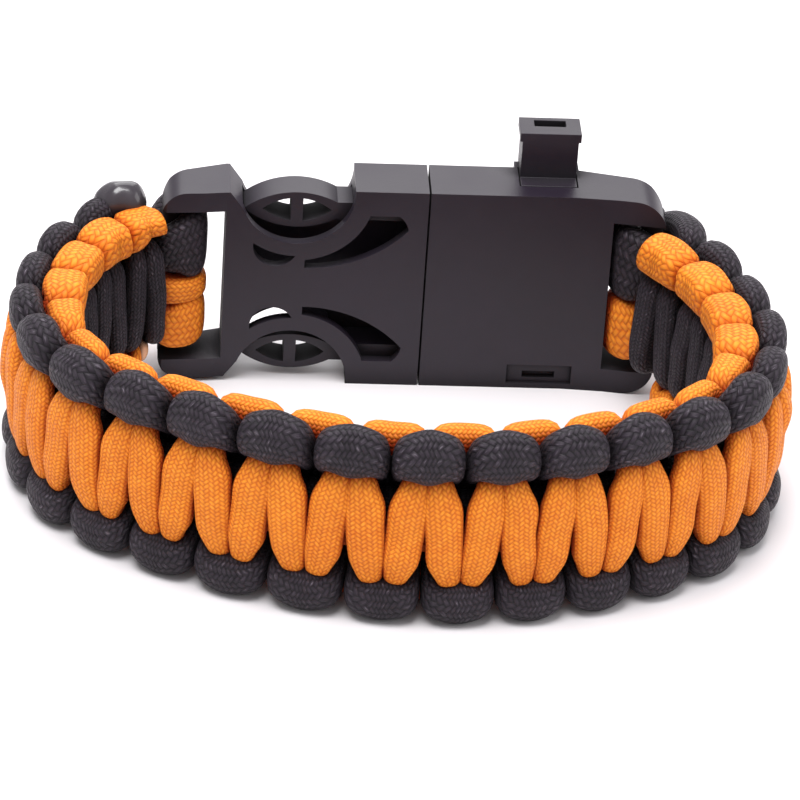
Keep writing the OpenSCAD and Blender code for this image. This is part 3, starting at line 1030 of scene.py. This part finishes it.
@dataclass
class Wrap:
    """A cord's turns round one strap bar."""

    band: Band
    bar: np.ndarray
    heading: float
    rows: tuple[WrapRow, ...]
    half_thick: float
    square: float = 3.4

    def stations(self) -> list[Station]:
        """Lays the cord round the bar.

        Returns:
            The stations of its turns, in the rows' order.
        """
        cord = self.band.cord
        r = self.band.buckle.bar_r + self.half_thick + cord.gap / 2
        found = []
        for row in self.rows:
            a = math.radians(row.angle)
            z = self.band.buckle.middle + row.up
            point = np.array([self.bar[0] + r * math.cos(a), self.bar[1] + r * math.sin(a), z])
            sizes = (self.half_thick, self.half_thick, row.half * cord.diameter)
            found.append(Station(point, self.heading, sizes, False, self.square))
        return found


BLACK_LEFT = (
    WrapRow(-205, 4.6, 0.5), WrapRow(-270, 5.4, 1.1), WrapRow(-315, 5.4, 1.22), WrapRow(-360, 5.4, 1.22),
    WrapRow(-405, 5.4, 1.15), WrapRow(-450, 5.1, 0.8))
ORANGE_LEFT = (
    WrapRow(-205, -5.2, 0.5), WrapRow(-270, -6.0, 0.78), WrapRow(-315, -5.9, 0.9),
    WrapRow(-360, -5.7, 0.88), WrapRow(-405, -5.6, 0.88), WrapRow(-450, -5.5, 0.8),
    WrapRow(-495, -4.6, 0.5), WrapRow(-540, -3.4, 0.42), WrapRow(-585, -2.4, 0.4),
    WrapRow(-630, -1.5, 0.4), WrapRow(-675, -1.0, 0.42), WrapRow(-720, -0.95, 0.42),
    WrapRow(-765, -0.9, 0.42), WrapRow(-810, -0.8, 0.42))
BLACK_RIGHT = (
    WrapRow(-90, 4.4, 1.05), WrapRow(-135, 4.6, 1.25), WrapRow(-180, 4.7, 1.3), WrapRow(-225, 4.8, 1.1),
    WrapRow(-270, 5.4, 0.8))
ORANGE_RIGHT = (
    WrapRow(-90, -3.8, 0.85), WrapRow(-135, -4.6, 1.05), WrapRow(-180, -4.9, 1.1),
    WrapRow(-225, -5.0, 1.0), WrapRow(-270, -5.6, 0.8))


class Skin(NamedTuple):
    """Rings of points round a strand, with each ring's place along it in stitches of the braid."""

    rings: np.ndarray
    stitches: np.ndarray


@dataclass
class BraidedCord:
    """One whole cord, from its wraps through the band's core and back along the weave."""

    name: str
    node: str
    slot: str
    finish: CordFinish
    cord: CordSizes
    offset: np.ndarray
    strand: list[Station]
    seed: int
    grow: float = 0.06
    sides: int = 32
    ring_step: float = 0.42
    fine: int = 12
    hidden_step: int = 4
    hidden_from: float = 0.8
    wander_mm: float = 0.05
    swell_share: float = 0.012
    ray_step: float = 4.0

    MAP = "braid"
    FIRST_SIDE = (0.3, 0.2, 1.0)

    def build(self, effects: Effects) -> bpy.types.Object:
        """Makes and dresses the cord.

        Args:
            effects: The shared node groups.

        Returns:
            The finished cord.
        """
        piece = self._mesh(self._skin(self._varied()))
        dress(piece, self.finish.material(effects), Body.ROOT, self.node)
        return piece

    def _varied(self) -> list[Station]:
        """Makes the turns differ a little from each other.

        Returns:
            The strand with small seeded changes of place and size.
        """
        draw = np.random.default_rng(self.seed)
        varied = []
        for st in self.strand:
            push = draw.normal(0, self.wander_mm, 3)
            swell = 1 + draw.normal(0, self.swell_share, 3)
            sizes = tuple(np.array(st.sizes) * swell + self.grow)
            varied.append(st._replace(point=st.point + push, sizes=sizes))
        return varied

    def _dense(self, strand: list[Station]) -> tuple[np.ndarray, np.ndarray, np.ndarray, np.ndarray]:
        """Draws a smooth curve through the stations.

        Args:
            strand: The stations.

        Returns:
            Its points, plan headings as unit vectors, half sizes with the section's exponent, and
            1 where the cord is hidden.
        """
        p = np.array([st.point for st in strand])
        sizes = np.array([(*st.sizes, st.square) for st in strand])
        heads = np.array([[math.cos(st.heading), math.sin(st.heading)] for st in strand])
        for i in range(1, len(heads)):
            if heads[i] @ heads[i - 1] < 0:
                heads[i] *= -1
        hidden = np.array([float(st.hidden) for st in strand])
        knots = np.concatenate([[0.0], np.cumsum(np.sqrt(np.linalg.norm(np.diff(p, axis=0), axis=1)))])
        steps = np.diff(knots)[:, None]
        slopes = np.diff(p, axis=0) / steps
        wide = (p[2:] - p[:-2]) / (knots[2:] - knots[:-2])[:, None]
        tangents = np.concatenate([slopes[:1], slopes[:-1] - wide + slopes[1:], slopes[-1:]])
        t = np.linspace(0, 1, self.fine, endpoint=False)[None, :, None]
        a, b = p[:-1, None], p[1:, None]
        ta, tb = (tangents[:-1] * steps)[:, None], (tangents[1:] * steps)[:, None]
        curve = ((2 * t**3 - 3 * t**2 + 1) * a + (t**3 - 2 * t**2 + t) * ta
                 + (3 * t**2 - 2 * t**3) * b + (t**3 - t**2) * tb)
        ease = t * t * (3 - 2 * t)

        def between(rows: np.ndarray) -> np.ndarray:
            """Eases values from station to station.

            Args:
                rows: The values at the stations.

            Returns:
                The values at the curve's points.
            """
            low, high = rows[:-1, None], rows[1:, None]
            flat = (low + (high - low) * ease).reshape(-1, rows.shape[1])
            return np.concatenate([flat, rows[-1:]])

        points = np.concatenate([curve.reshape(-1, 3), p[-1:]])
        return points, between(heads), between(sizes), between(hidden[:, None])[:, 0]

    def _skin(self, strand: list[Station]) -> Skin:
        """Lays rings round a strand, further apart where it is hidden.

        Args:
            strand: The strand's stations.

        Returns:
            The rings, with their places along the strand.
        """
        points, heads, sizes, hidden = self._dense(strand)
        run = np.concatenate([[0.0], np.cumsum(np.linalg.norm(np.diff(points, axis=0), axis=1))])
        marks = np.arange(int(run[-1] / self.ring_step) + 1)
        covered = np.interp(marks * self.ring_step, run, hidden) > self.hidden_from
        at = marks[~covered | (marks % self.hidden_step == 0)] * self.ring_step

        def sample(rows: np.ndarray) -> np.ndarray:
            """Returns rows of values at the rings' places."""
            return np.stack([np.interp(at, run, column) for column in rows.T], axis=1)

        centres = self._smooth(sample(points), 1)
        heads, sizes = self._smooth(sample(heads), 2), self._smooth(sample(sizes), 2)
        heads /= np.linalg.norm(heads, axis=1, keepdims=True)
        return Skin(self._rings(centres, heads, sizes), at / self.cord.stitch)

    @staticmethod
    def _smooth(rows: np.ndarray, times: int) -> np.ndarray:
        """Averages each row of values with its neighbours.

        Args:
            rows: The values.
            times: How often that is done.

        Returns:
            The smoothed values.
        """
        for _ in range(times):
            rows = np.concatenate([rows[:1], (rows[:-2] + 2 * rows[1:-1] + rows[2:]) / 4, rows[-1:]])
        return rows

    def _rings(self, centres: np.ndarray, heads: np.ndarray, sizes: np.ndarray) -> np.ndarray:
        """Draws a plump section of evenly long sides round each centre.

        Args:
            centres: The rings' centres.
            heads: The band's heading at each, as a unit vector in plan.
            sizes: The half sizes and the section's exponent at each.

        Returns:
            The points of each ring.
        """
        forward = np.gradient(centres, axis=0)
        forward /= np.linalg.norm(forward, axis=1, keepdims=True)
        side = self._carried(forward)
        other = np.cross(forward, side)
        trial = np.radians(np.arange(0, 361, self.ray_step))
        rays = (np.cos(trial)[None, :, None] * side[:, None] + np.sin(trial)[None, :, None] * other[:, None])
        along = np.abs(rays[..., :2] @ heads[:, :, None])[..., 0] / sizes[:, None, 0]
        outward = np.stack([heads[:, 1], -heads[:, 0]], axis=1)
        out = np.abs(rays[..., :2] @ outward[:, :, None])[..., 0] / sizes[:, None, 1]
        up = np.abs(rays[..., 2]) / sizes[:, None, 2]
        square = sizes[:, 3:4]
        reach = (along**square + out**square + up**square) ** (-1 / square)
        loops = centres[:, None] + reach[..., None] * rays
        sides = self.sides
        edge = np.concatenate([np.zeros((len(loops), 1)),
                               np.cumsum(np.linalg.norm(np.diff(loops, axis=1), axis=2), axis=1)], axis=1)
        rings = np.empty((len(loops), sides, 3))
        for i, (loop, length) in enumerate(zip(loops, edge)):
            marks = np.arange(sides) / sides * length[-1]
            for axis in range(3):
                rings[i, :, axis] = np.interp(marks, length, loop[:, axis])
        return rings

    def _carried(self, forward: np.ndarray) -> np.ndarray:
        """Carries a side vector along the strand without a twist.

        Args:
            forward: The strand's direction at each ring.

        Returns:
            The side vector at each ring.
        """
        side = np.empty_like(forward)
        last = np.array(self.FIRST_SIDE)
        for i, direction in enumerate(forward):
            last = last - (last @ direction) * direction
            last /= np.linalg.norm(last)
            side[i] = last
        return side

    def _mesh(self, skin: Skin) -> bpy.types.Object:
        """Makes the cord's mesh, with its map in stitches and columns.

        Args:
            skin: The cord's rings.

        Returns:
            The mesh object, in the scene.
        """
        sides, n, u = self.sides, len(skin.rings), skin.stitches
        points = (skin.rings.reshape(-1, 3) + self.offset) * MM
        points[:, 2] = np.maximum(points[:, 2], 0.0)
        i, k = np.meshgrid(np.arange(n - 1), np.arange(sides), indexing="ij")
        j = (k + 1) % sides
        quads = np.stack([i * sides + k, i * sides + j, (i + 1) * sides + j, (i + 1) * sides + k], axis=-1)
        faces = quads.reshape(-1, 4).tolist()
        across = self.cord.columns / sides
        v0, v1 = k * across, (k + 1) * across
        corners = np.stack([u[i], v0, u[i], v1, u[i + 1], v1, u[i + 1], v0], axis=-1)
        places = [corners.reshape(-1, 2)]
        for ring, order in ((0, -1), (n - 1, 1)):
            faces.append([ring * sides + m for m in range(sides)][::order])
            places.append(np.tile([[u[ring], 0.0]], (sides, 1)))
        mesh = bpy.data.meshes.new(self.name)
        mesh.from_pydata(points.tolist(), [], faces)
        mesh.uv_layers.new(name=self.MAP).data.foreach_set("uv", np.concatenate(places).ravel())
        mesh.polygons.foreach_set("use_smooth", [True] * len(mesh.polygons))
        mesh.update()
        piece = bpy.data.objects.new(self.name, mesh)
        bpy.context.scene.collection.objects.link(piece)
        return piece


@dataclass(frozen=True)
class Route:
    """How one cord runs, from its wrap at the left strap bar to its end in the first turn.

    It enters the core by the start rows, on the upper edge if edge is 1 and on the lower if it is
    -1, and leaves it by the end row. The back row brings it from its right wrap to the weave. The
    end and back rows count their half knots from the band's last one.
    """

    name: str
    node: str
    slot: str
    finish: CordFinish
    face: Face
    edge: int
    left: tuple[WrapRow, ...]
    start: tuple[InsideRow, ...]
    end: InsideRow
    right: tuple[WrapRow, ...]
    back: InsideRow
    first_row: int
    last_row: int


BLACK_ROUTE = Route(
    "black_paracord", "black_cord", "black_paracord", BLACK_SHEATH, Face.INSIDE, edge=1,
    left=BLACK_LEFT, start=(InsideRow(0, 0.3, 3.7), InsideRow(1.4, 0, 2.7)), end=InsideRow(-0.4, 0, 2.3),
    right=BLACK_RIGHT, back=InsideRow(1.2, 5.9, 8.2), first_row=5, last_row=7)
ORANGE_ROUTE = Route(
    "orange_paracord", "orange_cord", "orange_paracord", ORANGE_SHEATH, Face.OUTSIDE, edge=-1,
    left=ORANGE_LEFT, start=(InsideRow(0, 0, -0.5), InsideRow(1.4, 0, -1.7)), end=InsideRow(-0.4, 0, -2.3),
    right=ORANGE_RIGHT, back=InsideRow(1.2, 5.9, -6.8), first_row=2, last_row=9)


@dataclass
class Weaving:
    """The two cords of the bracelet, as they run through the band and round the strap bars."""

    buckle: BuckleSizes
    cord: CordSizes
    seed: int = 7
    core_from: int = 3
    core_before_end: int = 2

    def __post_init__(self) -> None:
        """Lays out the band."""
        self.band = Band(self.buckle, self.cord)
        self.start_heading = self.band.plan_at(0)[2]
        self.end_heading = self.band.plan_at(self.band.length)[2]

    def _wraps(self, route: Route) -> tuple[Wrap, Wrap]:
        """Lays out a cord's turns round the strap bars.

        Args:
            route: The cord's route.

        Returns:
            The turns round the left bar and those round the right bar, which fill its slot.
        """
        half_thick = self.buckle.box_slot / 2 - self.cord.gap
        return (Wrap(self.band, self.buckle.left_bar, self.start_heading, route.left, self.cord.flat_r),
                Wrap(self.band, self.buckle.right_bar, self.end_heading, route.right, half_thick))

    def strand(self, route: Route) -> list[Station]:
        """Lays out a whole cord.

        Args:
            route: The cord's route.

        Returns:
            Its stations, in the route's order.
        """
        band, n = self.band, self.band.knots
        left, right = self._wraps(route)
        return (
            left.stations()
            + band.inside(route.start)
            + band.core(self.core_from, n - self.core_before_end, route.edge)
            + band.inside([route.end._replace(u=n + route.end.u)])
            + right.stations()
            + band.inside([route.back._replace(u=n + route.back.u)], False)
            + band.turn(n, route.first_row, 1, route.face)
            + band.weave(0, n - 1, route.face)
            + band.turn(-1, 2 * LAST_ROW - 1, route.last_row, route.face))

    def build(self, effects: Effects) -> list[bpy.types.Object]:
        """Builds the two cords.

        Args:
            effects: The shared node groups.

        Returns:
            The finished cords.
        """
        offset = self.buckle.offset()
        pieces = []
        for number, route in enumerate((BLACK_ROUTE, ORANGE_ROUTE)):
            cord = BraidedCord(route.name, route.node, route.slot, route.finish, self.cord, offset,
                               self.strand(route), self.seed + number)
            pieces.append(cord.build(effects))
        return pieces


@dataclass
class MouldedPiece:
    """A hard piece: the frame's own shape with its edges eased, as a mould leaves them."""

    name: str
    node: str
    body: Body
    slot: str
    finish: MouldedFinish
    edge_mm: float = 0.28
    edge_angle: float = 32.0
    segments: int = 3
    flat_angle: float = 0.8
    merge_mm: float = 0.002

    def build(self, effects: Effects) -> bpy.types.Object:
        """Eases and dresses a copy of the node's mesh.

        Args:
            effects: The shared node groups.

        Returns:
            The finished piece.
        """
        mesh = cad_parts[self.node].data.copy()
        piece = bpy.data.objects.new(self.name, mesh)
        mesh.name = self.name
        bpy.context.scene.collection.objects.link(piece)
        activate(piece)
        bpy.ops.object.mode_set(mode="EDIT")
        bpy.ops.mesh.select_all(action="SELECT")
        bpy.ops.mesh.remove_doubles(threshold=self.merge_mm * MM)
        bpy.ops.mesh.dissolve_limited(angle_limit=math.radians(self.flat_angle))
        bpy.ops.object.mode_set(mode="OBJECT")
        apply_modifier(piece, "BEVEL", width=self.edge_mm * MM, segments=self.segments,
                       limit_method="ANGLE", angle_limit=math.radians(self.edge_angle),
                       miter_outer="MITER_ARC", use_clamp_overlap=True, harden_normals=False)
        activate(piece)
        bpy.ops.object.shade_smooth_by_angle(angle=math.radians(self.edge_angle))
        apply_modifier(piece, "WEIGHTED_NORMAL", weight=100, keep_sharp=True)
        dress(piece, self.finish.material(effects), self.body, self.node)
        return piece


@dataclass
class Buckle:
    """The fastened side-release buckle."""

    edge_mm: float = 0.42

    def build(self, effects: Effects) -> list[bpy.types.Object]:
        """Builds the two halves.

        Args:
            effects: The shared node groups.

        Returns:
            The socket and the prong half.
        """
        halves = (
            MouldedPiece("buckle_socket", "socket_half", Body.ROOT, "buckle_plastic", BUCKLE_PLASTIC,
                         self.edge_mm),
            MouldedPiece("buckle_prongs", "prong_half", Body.ROOT, "buckle_plastic", BUCKLE_PLASTIC,
                         self.edge_mm))
        return [half.build(effects) for half in halves]


@dataclass
class Striker:
    """The fire striker that pulls out of the box: a handle and its rod."""

    edge_mm: float = 0.35
    rod_edge_mm: float = 0.2

    def build(self, effects: Effects) -> list[bpy.types.Object]:
        """Builds the two pieces.

        Args:
            effects: The shared node groups.

        Returns:
            The handle and the rod.
        """
        parts = (
            MouldedPiece("pull_handle", "striker_handle", Body.STRIKER, "handle_plastic", HANDLE_PLASTIC,
                         self.edge_mm),
            MouldedPiece("spark_rod", "striker_rod", Body.STRIKER, "striker_rod", ROD_METAL,
                         self.rod_edge_mm))
        return [part.build(effects) for part in parts]


@dataclass
class MeltedEnd:
    """The melted and pressed end of a cord.

    Shape is its size as shares of its node's, lean its turn about Y in degrees, and shift what
    moves it from its node's place to where the photograph shows it.
    """

    name: str
    node: str
    slot: str
    finish: MouldedFinish
    shape: tuple[float, float, float]
    lean: float
    lumps_mm: float
    seed: int
    shift_mm: tuple[float, float, float] = (0.0, 0.0, 0.0)
    segments: int = 28
    rings: int = 16
    waves: int = 5
    wave_mm: float = 1.6

    def build(self, effects: Effects) -> bpy.types.Object:
        """Shapes and dresses the blob.

        Args:
            effects: The shared node groups.

        Returns:
            The finished blob.
        """
        low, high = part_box(self.node)
        middle, size = (low + high) / 2 + Vector(self.shift_mm) * MM, high - low
        deselect()
        bpy.ops.mesh.primitive_uv_sphere_add(segments=self.segments, ring_count=self.rings, radius=0.5,
                                             location=(0, 0, 0))
        piece = bpy.context.object
        piece.name = self.name
        bpy.ops.object.mode_set(mode="EDIT")
        bpy.ops.mesh.select_all(action="SELECT")
        bpy.ops.transform.resize(value=[a * b for a, b in zip(size, self.shape)])
        bpy.ops.transform.rotate(value=math.radians(self.lean), orient_axis="Y", center_override=(0, 0, 0))
        bpy.ops.transform.translate(value=middle)
        bpy.ops.object.mode_set(mode="OBJECT")
        apply_modifier(piece, "SUBSURF", levels=1, render_levels=1)
        self._lumps(piece, middle)
        activate(piece)
        bpy.ops.object.shade_smooth()
        dress(piece, self.finish.material(effects), Body.ROOT, self.node)
        return piece

    def _lumps(self, piece: bpy.types.Object, middle: Vector) -> None:
        """Pushes the skin in and out by a few soft seeded waves.

        Args:
            piece: The blob.
            middle: Its middle, in metres.
        """
        draw = np.random.default_rng(self.seed)
        waves = draw.normal(0, 1.0, (self.waves, 3)) / (self.wave_mm * MM)
        phases = draw.uniform(0, 2 * math.pi, self.waves)
        for vertex in piece.data.vertices:
            ray = vertex.co - middle
            height = sum(math.sin(float(w @ np.array(ray)) + p) for w, p in zip(waves, phases)) / self.waves
            vertex.co = middle + ray * (1 + height * self.lumps_mm * MM / ray.length)


MELTED_ENDS = (
    MeltedEnd("black_blob", "black_melted_end", "black_melt", BLACK_MELT, shape=(1.2, 1.1, 1.3), lean=10.0,
              lumps_mm=0.45, seed=3, shift_mm=(-0.9, -3.3, 0.4)),
    MeltedEnd("orange_blob", "orange_melted_end", "orange_melt", PALE_MELT, shape=(0.95, 0.95, 0.95),
              lean=0.0, lumps_mm=0.2, seed=5))


@dataclass(frozen=True)
class Softbox:
    """A square soft light that faces the object: its place and side in metres, and its watts."""

    name: str
    place: tuple[float, float, float]
    side: float
    power: float

    def build(self) -> None:
        """Adds the light to the scene."""
        data = bpy.data.lights.new(self.name, "AREA")
        data.shape = "SQUARE"
        data.size = self.side
        data.energy = self.power
        light = bpy.data.objects.new(self.name, data)
        light.location = self.place
        light.rotation_euler = (-Vector(self.place)).to_track_quat("-Z", "Y").to_euler()
        bpy.context.scene.collection.objects.link(light)


class Studio:
    """The pale floor, the soft lights and the camera."""

    SOFTBOXES = (
        Softbox("key_light", (-0.14, -0.12, 0.95), 0.6, 12.0),
        Softbox("back_light", (0.05, 0.85, 0.62), 0.9, 5.5),
        Softbox("side_light", (0.75, -0.15, 0.45), 0.6, 2.0))
    FLOOR_COLOUR = (0.80, 0.775, 0.795, 1.0)
    FLOOR_ROUGHNESS = 0.5
    FLOOR_SPECULAR = 0.25
    FLOOR_SIZE = 6.0
    SKY_COLOUR = (1.0, 0.985, 1.0, 1.0)
    SKY_STRENGTH = 0.55
    VIEW_AZIMUTH = -4.7
    VIEW_ELEVATION = 32.0
    VIEW_ROLL = 3.9
    VIEW_DISTANCE = 599.4
    VIEW_TARGET = (0.5, -0.6, 12.2)
    LENS = 223.2
    SENSOR = 36.0
    CLIP = (0.01, 20.0)

    def build(self) -> None:
        """Makes the stage, the lights and the camera."""
        self._floor()
        self._world()
        for softbox in self.SOFTBOXES:
            softbox.build()
        self._camera()
        view = bpy.context.scene.view_settings
        view.view_transform = "Standard"
        view.exposure = 0.0

    def _floor(self) -> None:
        """Makes the plain pale floor."""
        deselect()
        bpy.ops.mesh.primitive_plane_add(size=self.FLOOR_SIZE, location=(0, 0, 0))
        floor = bpy.context.object
        floor.name = "floor"
        material, _, shader = new_material("pale_floor")
        shader.inputs["Base Color"].default_value = self.FLOOR_COLOUR
        shader.inputs["Roughness"].default_value = self.FLOOR_ROUGHNESS
        shader.inputs["Specular IOR Level"].default_value = self.FLOOR_SPECULAR
        floor.data.materials.append(material)

    def _world(self) -> None:
        """Lights the scene evenly from all sides."""
        world = bpy.data.worlds.new("studio")
        bpy.context.scene.world = world
        world.use_nodes = True
        background = world.node_tree.nodes["Background"]
        background.inputs["Color"].default_value = self.SKY_COLOUR
        background.inputs["Strength"].default_value = self.SKY_STRENGTH

    def _camera(self) -> None:
        """Sets the camera at the photograph's angle."""
        a, e = math.radians(self.VIEW_AZIMUTH), math.radians(self.VIEW_ELEVATION)
        back = Vector((math.sin(a) * math.cos(e), -math.cos(a) * math.cos(e), math.sin(e)))
        level = Vector((0, 0, 1)).cross(back).normalized()
        rise = back.cross(level)
        c, s = math.cos(math.radians(self.VIEW_ROLL)), math.sin(math.radians(self.VIEW_ROLL))
        right = level * c + rise * s
        up = rise * c - level * s
        data = bpy.data.cameras.new("camera")
        data.sensor_width = self.SENSOR
        data.lens = self.LENS
        data.clip_start, data.clip_end = self.CLIP
        camera = bpy.data.objects.new("camera", data)
        turn = Matrix((right, up, back)).transposed().to_4x4()
        place = (Vector(self.VIEW_TARGET) + back * self.VIEW_DISTANCE) * MM
        camera.matrix_world = Matrix.Translation(place) @ turn
        bpy.context.scene.collection.objects.link(camera)
        bpy.context.scene.camera = camera


def main() -> None:
    """Builds the whole scene, piece by piece."""
    logging.basicConfig(level=logging.INFO, format="%(name)s: %(message)s")
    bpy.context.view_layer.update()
    Studio().build()
    effects = Effects()
    pieces = Weaving(BuckleSizes(), CordSizes()).build(effects)
    pieces += Buckle().build(effects)
    pieces += Striker().build(effects)
    pieces += [end.build(effects) for end in MELTED_ENDS]
    log.info("%d pieces", len(pieces))


if __name__ == "__main__":
    main()
